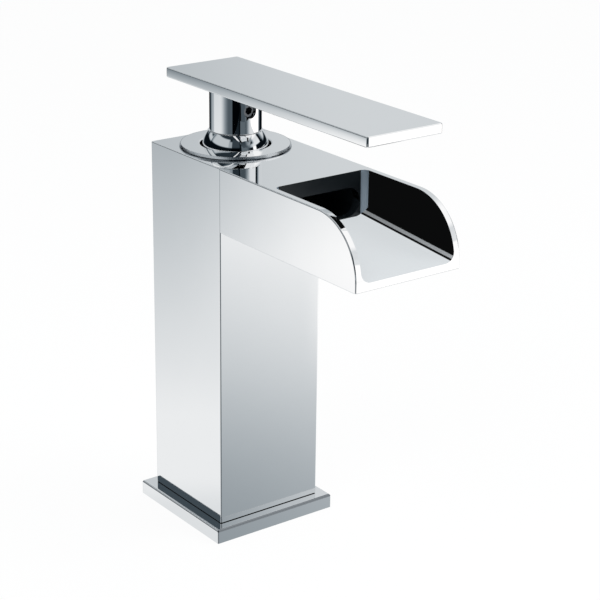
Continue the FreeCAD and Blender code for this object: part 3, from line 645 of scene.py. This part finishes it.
def box_mesh(name, low, high):
    """Plain block between two corners in millimetres."""
    bm = bmesh.new()
    bmesh.ops.create_cube(bm, size=1)
    for vert in bm.verts:
        for i in range(3):
            vert.co[i] = (low[i] if vert.co[i] < 0 else high[i]) * MM
    mesh = bpy.data.meshes.new(name)
    bm.to_mesh(mesh)
    bm.free()
    return mesh


def cut_away(mesh, tools):
    """Subtracts tool meshes and returns the new mesh."""
    whole = bpy.data.objects.new("blank", mesh)
    bpy.context.scene.collection.objects.link(whole)
    helpers = [whole]
    for k, tool_mesh in enumerate(tools):
        tool = bpy.data.objects.new("cutter_%d" % k, tool_mesh)
        bpy.context.scene.collection.objects.link(tool)
        helpers.append(tool)
        cut = whole.modifiers.new("cut", "BOOLEAN")
        cut.operation = "DIFFERENCE"
        cut.solver = "EXACT"
        cut.object = tool
    bpy.context.view_layer.update()
    result = bpy.data.meshes.new_from_object(whole.evaluated_get(bpy.context.evaluated_depsgraph_get()))
    for helper in helpers:
        bpy.data.objects.remove(helper)
    return result


reach = math.degrees(math.acos((HUB_FOOT - PIVOT_Z) / BALL_RADIUS))
ball_profile = [(0, HUB_FOOT)]
ball_profile += round_corner(0, PIVOT_Z, BALL_RADIUS, 90 - reach, -BALL_DIP, BALL_STEPS)
ball_profile += [(BALL_BORE, PIVOT_Z - BALL_BORE * math.tan(math.radians(BALL_DIP))),
                 (BALL_BORE, HUB_FOOT - BALL_WALL), (0, HUB_FOOT - BALL_WALL)]
ball_mesh = turn_about_column("ball_dome_polished", ball_profile)
ball_mesh = cut_away(ball_mesh, [box_mesh("socket", (-STEM_HALF, -STEM_HALF, PIVOT_Z),
                                          (STEM_HALF, STEM_HALF, HUB_FOOT + CUT_PAST))])
polish(ball_mesh)
add_piece("ball_dome_polished", ball_mesh, chrome, "handle", "ball_dome")

# ---- 15. Handle hub ---------------------------------------------------------
# A turned brass post, plated, with a square bore for the stem and a threaded
# hole in front for the grub screw. Its spigot is brazed into the lever.
HUB_RADIUS, HUB_ROUND, SPIGOT_RADIUS, SPIGOT_HEIGHT = 9.0, 0.4, 5.0, 1.8
LEVER_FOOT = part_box("lever_plate")[0][2] / MM
GRUB_HOLE, GRUB_Z, HUB_ROOF = 2.5, HUB_FOOT + 8.1, 2.2
HOLE_SIDES = 96


def cylinder_mesh(name, radius, height, front, back):
    """Plain cutter along Y at x 0, from front to back, in millimetres."""
    bm = bmesh.new()
    loops = []
    for y in (front, back):
        loops.append([bm.verts.new((radius * math.cos(2 * math.pi * k / HOLE_SIDES) * MM, y * MM,
                                    (height + radius * math.sin(2 * math.pi * k / HOLE_SIDES)) * MM))
                      for k in range(HOLE_SIDES)])
    for k in range(HOLE_SIDES):
        m = (k + 1) % HOLE_SIDES
        bm.faces.new((loops[0][k], loops[0][m], loops[1][m], loops[1][k]))
    bm.faces.new(loops[0])
    bm.faces.new(loops[1])
    bmesh.ops.recalc_face_normals(bm, faces=bm.faces)
    mesh = bpy.data.meshes.new(name)
    bm.to_mesh(mesh)
    bm.free()
    return mesh


hub_profile = [(0, HUB_FOOT)]
hub_profile += round_corner(HUB_RADIUS - HUB_ROUND, HUB_FOOT + HUB_ROUND, HUB_ROUND, -90, 0)
hub_profile += [(HUB_RADIUS, LEVER_FOOT), (SPIGOT_RADIUS, LEVER_FOOT),
                (SPIGOT_RADIUS, LEVER_FOOT + SPIGOT_HEIGHT), (0, LEVER_FOOT + SPIGOT_HEIGHT)]
hub_mesh = turn_about_column("handle_hub_polished", hub_profile)
hub_mesh = cut_away(hub_mesh, [
    box_mesh("bore", (-STEM_HALF, -STEM_HALF, HUB_FOOT - CUT_PAST),
             (STEM_HALF, STEM_HALF, LEVER_FOOT - HUB_ROOF)),
    cylinder_mesh("grub_hole", GRUB_HOLE, GRUB_Z, -HUB_RADIUS - CUT_PAST, 0)])
polish(hub_mesh)
add_piece("handle_hub_polished", hub_mesh, chrome, "handle", "handle_hub")

# ---- 16. Grub screw ---------------------------------------------------------
# A short steel screw with a hexagon socket and no head, in the hub's front,
# pressed on the flat of the stem.
grub_low, grub_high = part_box("grub_screw")
GRUB_RADIUS, GRUB_BEVEL = (grub_high[0] - grub_low[0]) / 2, 0.35 * MM
dark_steel = make_surface("oiled_steel", (0.10, 0.11, 0.12), (0.17, 0.18, 0.19), (0.15, 0.3), 1.0, 1400,
                          height=0.003)
screw_mesh = grown("grub_screw_threaded", screw_nodes, {
    "Head Radius": GRUB_RADIUS - GRUB_BEVEL, "Head Height": GRUB_BEVEL, "Radius": GRUB_RADIUS,
    "Length": grub_high[1] - grub_low[1], "Pitch": 0.8 * MM, "Thread Depth": 0.36 * MM,
    "Socket Half": 1.25 * MM, "Socket Depth": 2.0 * MM, "Count": 1, "Material": dark_steel,
    "First": (0, grub_low[1], (grub_low[2] + grub_high[2]) / 2), "Step A": (0, 0, 0), "Step B": (0, 0, 0),
    "Direction": (-math.pi / 2, 0, 0)})
polish(screw_mesh)
add_piece("grub_screw_threaded", screw_mesh, None, "handle", "grub_screw")

# ---- 17. Lever --------------------------------------------------------------
# A flat brass bar, polished and plated, with round corners, softly broken
# edges and slightly round sides. It is brazed on the hub's spigot.
LEVER_CORNER, LEVER_EDGE = 0.8, 0.45
SIDE_CROWN, END_CROWN = 28.0, 90.0     # the long sides are slightly round, the ends nearly flat
EDGE_STEPS, CROWN_STEPS, CORNER_STEPS = 6, 8, 10


def side_of_bar(low_z, high_z, crown):
    """Rows (inset, height, tilt) from the under face to the top face, in millimetres."""
    middle, half = (low_z + high_z) / 2, (high_z - low_z) / 2
    tilt = math.asin((half - LEVER_EDGE) / (crown - LEVER_EDGE))
    sag = crown * (1 - math.cos(tilt)) + LEVER_EDGE * math.cos(tilt)
    rows = []
    for k in range(EDGE_STEPS):
        a = math.pi / 2 - (math.pi / 2 - tilt) * k / EDGE_STEPS
        rows.append((sag - LEVER_EDGE * math.cos(a), middle - half + LEVER_EDGE * (1 - math.sin(a)), -a))
    for k in range(CROWN_STEPS + 1):
        a = tilt * (2 * k / CROWN_STEPS - 1)
        rows.append((crown * (1 - math.cos(a)), middle + crown * math.sin(a), a))
    for k in range(1, EDGE_STEPS + 1):
        a = tilt + (math.pi / 2 - tilt) * k / EDGE_STEPS
        rows.append((sag - LEVER_EDGE * math.cos(a), middle + half - LEVER_EDGE * (1 - math.sin(a)), a))
    return rows


def make_bar(name, low, high, corner):
    """Bar with round upright corners and crowned, softly edged sides."""
    bm = bmesh.new()
    loops, normals = [], []
    long_side, end_side = (side_of_bar(low[2], high[2], crown) for crown in (SIDE_CROWN, END_CROWN))
    for one, other in zip(long_side, end_side):
        loop = []
        for quarter, (sx, sy) in enumerate(((1, 1), (-1, 1), (-1, -1), (1, -1))):
            cx = (high[0] if sx > 0 else low[0]) - sx * corner
            cy = (high[1] if sy > 0 else low[1]) - sy * corner
            for k in range(CORNER_STEPS + 1):
                a = math.pi / 2 * (quarter + k / CORNER_STEPS)
                share = math.sin(a) ** 2
                inset, z, tilt = (u * (1 - share) + v * share for u, v in zip(one, other))
                r = corner - inset
                loop.append(bm.verts.new(((cx + r * math.cos(a)) * MM, (cy + r * math.sin(a)) * MM, z * MM)))
                normals.append((math.cos(tilt) * math.cos(a), math.cos(tilt) * math.sin(a), math.sin(tilt)))
        loops.append(loop)
    count = len(loops[0])
    for a, b in zip(loops, loops[1:]):
        for k in range(count):
            m = (k + 1) % count
            bm.faces.new((a[k], a[m], b[m], b[k]))
    bm.faces.new(loops[0][::-1])
    bm.faces.new(loops[-1])
    for face in bm.faces:
        face.smooth = True
    mesh = bpy.data.meshes.new(name)
    bm.to_mesh(mesh)
    bm.free()
    mesh.normals_split_custom_set_from_vertices(normals)
    return mesh


lever_low, lever_high = [[v / MM for v in corner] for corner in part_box("lever_plate")]
lever_mesh = make_bar("lever_polished", lever_low, lever_high, LEVER_CORNER)
add_piece("lever_polished", lever_mesh, chrome, "handle", "lever_plate")

# ---- 18. Studio and camera --------------------------------------------------
# A white floor that keeps a faint shadow, soft lamps, and a studio of white
# and black screens round the faucet, which the chrome mirrors.
SCREENS = [
    # turn from, to, soft from, to; rise from, to, soft from, to; light at the lower, upper edge
    ("low_back", -15, 85, 15, 10, -90, -17, 1, 1, 0.62, 0.50),
    ("low_side", 216, 229, 3, 1, -90, -16.8, 1, 0.6, 0.50, 0.80),
    ("side_belt", 212, 234, 4, 4, -11.5, -3.5, 0.8, 1.5, 0.75, 0.50),
    ("left_belt", 150, 205, 8, 8, -9, -3, 3, 1.5, 0.50, 0.35),
    ("right_belt", -12, 20, 4, 6, -12, -3.5, 0.8, 1.5, 0.70, 0.45),
    ("back_sweep", -6, 94, 12, 6, 9, 90, 3, 1, 0.68, 0.71),
    ("back_sweep_left", 56, 90, 5, 10, 9, 26, 3, 6, 0.47, 0.54),
    ("back_low", 24, 80, 6, 6, -11.5, 9, 0.8, 3, 0.62, 0.66),
    ("back_black", 5, 96, 3, 8, -16.8, -12.6, 0.8, 0.6, 0.004, 0.004),
    ("left_sweep", 100, 172, 15, 20, -90, -17, 1, 2, 0.90, 0.90),
    ("left_foot", 100, 150, 10, 10, -90, -26.4, 1, 0.6, 0.79, 0.79),
    ("left_hub_band", 124, 180, 32, 27, -17, -9, 2, 4, 0.86, 0.80),
    ("left_sweep_far", 107, 150, 14, 8, -24, -6, 1.5, 4, 0.90, 0.03),
    ("left_lip_box", 125.7, 170, 3.5, 18, -21, -10, 2.5, 5, 1.16, 0.50),
    ("right_low", 275, 340, 20, 20, -90, -20, 1, 3, 0.32, 0.32),
    ("right_low_far", 307, 340, 5, 20, -90, -20, 1, 3, 0.45, 0.45),
    ("right_sweep", 295, 352, 20, 8, -22.3, -1.5, 6, 1.5, 1.10, 1.10),
    ("right_lip_box", 308.2, 353, 1.2, 6, -22, -1.5, 1.5, 1.5, 1.25, 1.25),
    ("right_belt_box", 299, 311.5, 1.5, 1.0, -14, 14, 2, 2, 1.10, 1.10),
    ("camera_side_low", 229, 252, 1, 1, -90, -16.2, 1, 0.6, 0.001, 0.001),
    ("camera_side", 221, 255, 0.6, 0.8, -16.6, -12.4, 0.6, 0.6, 0.001, 0.001),
    ("camera_side_top", 221, 249, 0.6, 0.6, -2.5, 14, 1, 3, 0.001, 0.001),
    ("camera_side_high", 222, 250, 3, 3, 16, 44, 3, 4, 0.05, 0.05),
    ("front_grey_box", 255.5, 276, 1.2, 6, -40, 4, 5, 3, 0.03, 0.13),
    ("front_high_box", 256, 282, 1, 8, 3, 22, 2, 3, 0.13, 0.15),
    ("front_soft_box", 292, 312, 14, 4, 11, 20, 2, 3, 0.75, 0.80),
    ("left_box", 138, 212, 9, 5, 15.5, 42, 2, 3, 0.56, 0.56),
    ("left_box_edge", 211, 222, 2, 2, 15.5, 35, 2, 3, 0.37, 0.37),
    ("left_box_far", 104, 133, 8, 2.5, 13.5, 90, 2, 1, 0.60, 0.66),
    ("left_flag", 117, 131, 2, 2, 23.5, 31.5, 2, 2, 0.075, 0.075),
    ("upper_flag", 140, 258, 10, 8, 44, 62, 2.5, 8, 0.028, 0.028),
    ("upper_flag_right", 256, 280, 6, 6, 44, 68, 3, 8, 0.12, 0.12),
    ("right_box", 304.2, 335, 7, 1.5, 13, 36, 1.2, 3, 0.82, 0.72),
    ("right_top_box", 286, 372, 10, 20, 33, 78, 4, 8, 1.02, 1.02),
    ("right_flag", 336, 351, 1, 2, 0, 14, 2, 2, 0.004, 0.004),
    ("floor_card", -185, 185, 1, 1, -90, -38, 1, 4, 0.98, 0.92),
]
ROOM_LOW, ROOM_BELT, ROOM_TOP = 0.10, 0.004, 0.62       # light of the room behind the screens
BELT_RISE, TOP_RISE = (-9, -2), (60, 75)                # degrees over which the room's light changes
RED_POWER, BLUE_POWER = 1.11, 0.93                      # the darker a screen, the cooler it is
DEGREES, HALF_TURN = 180 / math.pi, 180.0

world = bpy.data.worlds.new("studio")
bpy.context.scene.world = world
world.use_nodes = True
sky = world.node_tree
sky.nodes.clear()
way = wire(sky, "ShaderNodeTexCoord", {})
parts = wire(sky, "ShaderNodeSeparateXYZ", {"Vector": way.outputs["Generated"]})
turn = maths(sky, "ARCTAN2", parts.outputs["Y"], parts.outputs["X"])
turn = maths(sky, "MULTIPLY", turn, DEGREES)
rise = maths(sky, "ARCSINE", parts.outputs["Z"])
rise = maths(sky, "MULTIPLY", rise, DEGREES)


def edge(value, low, high):
    """0 below low, 1 above high, soft between; reversed when low is above high."""
    return wire(sky, "ShaderNodeMapRange", {"Value": value, "From Min": low, "From Max": high},
                interpolation_type="SMOOTHSTEP").outputs["Result"]


shade = blend(sky, edge(rise, *BELT_RISE), ROOM_LOW, ROOM_BELT)
shade = blend(sky, edge(rise, *TOP_RISE), shade, ROOM_TOP)
for name, t0, t1, ts0, ts1, r0, r1, rs0, rs1, low_light, high_light in SCREENS:
    middle, half = (t0 + t1) / 2, (t1 - t0) / 2
    off = maths(sky, "WRAP", maths(sky, "SUBTRACT", turn, middle), HALF_TURN, -HALF_TURN)
    across = maths(sky, "MULTIPLY", edge(off, -half - ts0, -half + ts0), edge(off, half + ts1, half - ts1))
    upward = maths(sky, "MULTIPLY", edge(rise, r0 - rs0, r0 + rs0), edge(rise, r1 + rs1, r1 - rs1))
    light = wire(sky, "ShaderNodeMapRange", {"Value": rise, "From Min": r0, "From Max": r1,
                                             "To Min": low_light, "To Max": high_light})
    light.label = name
    shade = blend(sky, maths(sky, "MULTIPLY", across, upward), shade, light.outputs["Result"])
cool = wire(sky, "ShaderNodeCombineColor", {
    "Red": maths(sky, "POWER", shade, RED_POWER), "Green": shade,
    "Blue": maths(sky, "POWER", shade, BLUE_POWER)})
path = wire(sky, "ShaderNodeLightPath", {})
plain = maths(sky, "MAXIMUM", path.outputs["Is Camera Ray"], path.outputs["Is Transmission Ray"])
seen = wire(sky, "ShaderNodeMix", {"Factor": plain, "A": cool.outputs["Color"], "B": (1, 1, 1, 1)},
            data_type="RGBA")
glow = wire(sky, "ShaderNodeBackground", {"Color": seen.outputs["Result"], "Strength": 1.0})
wire(sky, "ShaderNodeOutputWorld", {"Surface": glow.outputs["Background"]})
FLOOR_HALF, FLOOR_ROUGH, FLOOR_COLOUR = 2.0, 0.9, (0.9, 0.9, 0.9, 1)
FLOOR_GRAIN, FLOOR_RELIEF = 40, 0.01 * MM
FLOOR_LIGHT, LIGHT_SHARE = 1.02, 0.92      # the floor shines by itself and keeps a faint shadow


def make_floor():
    """White floor that shines by itself, so that only a faint shadow shows."""
    material, tree, shader = start_material("white_floor")
    shader.inputs["Base Color"].default_value = FLOOR_COLOUR
    shader.inputs["Roughness"].default_value = FLOOR_ROUGH
    relief(tree, noise_on_piece(tree, FLOOR_GRAIN), FLOOR_RELIEF, shader)
    light = wire(tree, "ShaderNodeEmission", {"Color": (1, 1, 1, 1), "Strength": FLOOR_LIGHT})
    mix = wire(tree, "ShaderNodeMixShader", {
        0: LIGHT_SHARE, 1: shader.outputs["BSDF"], 2: light.outputs["Emission"]})
    tree.links.new(mix.outputs["Shader"], tree.nodes["Material Output"].inputs["Surface"])
    return material


floor_mesh = bpy.data.meshes.new("studio_floor")
floor_mesh.from_pydata([(-FLOOR_HALF, -FLOOR_HALF, 0), (FLOOR_HALF, -FLOOR_HALF, 0),
                        (FLOOR_HALF, FLOOR_HALF, 0), (-FLOOR_HALF, FLOOR_HALF, 0)], [], [(0, 1, 2, 3)])
floor_mesh.materials.append(make_floor())
floor = bpy.data.objects.new("studio_floor", floor_mesh)
bpy.context.scene.collection.objects.link(floor)
floor.visible_glossy = False
LAMP_SIZE, LAMP_AIM = 0.6, (0, 0, 0.08)


def soft_lamp(name, place, watts):
    """Square soft lamp that lights the faucet's middle and isn't mirrored in the chrome."""
    data = bpy.data.lights.new(name, "AREA")
    data.shape = "SQUARE"
    data.size = LAMP_SIZE
    data.energy = watts
    lamp = bpy.data.objects.new(name, data)
    lamp.location = place
    lamp.rotation_euler = (Vector(LAMP_AIM) - Vector(place)).to_track_quat("-Z", "Y").to_euler()
    lamp.visible_glossy = False
    bpy.context.scene.collection.objects.link(lamp)


soft_lamp("lamp_left", (-0.6, -0.3, 0.8), 4.0)
soft_lamp("lamp_right", (0.6, -0.5, 0.7), 3.0)

CAMERA_AT, LENS, SENSOR = (-0.34693, -0.49878, 0.30445), 109.33, 36
CAMERA_TURN, CAMERA_RISE, CAMERA_ROLL = (math.radians(v) for v in (-36.976, 20.359, 0.699))
back = Vector((math.sin(CAMERA_TURN) * math.cos(CAMERA_RISE),
               -math.cos(CAMERA_TURN) * math.cos(CAMERA_RISE), math.sin(CAMERA_RISE)))
level = Vector((math.cos(CAMERA_TURN), math.sin(CAMERA_TURN), 0))
up = back.cross(level)
right = level * math.cos(CAMERA_ROLL) + up * math.sin(CAMERA_ROLL)
up = back.cross(right)
camera_data = bpy.data.cameras.new("camera")
camera_data.lens = LENS
camera_data.sensor_width = SENSOR
camera = bpy.data.objects.new("camera", camera_data)
camera.matrix_world = Matrix.Translation(CAMERA_AT) @ Matrix((right, up, back)).transposed().to_4x4()
bpy.context.scene.collection.objects.link(camera)
bpy.context.scene.camera = camera
bpy.context.scene.view_settings.view_transform = "Standard"
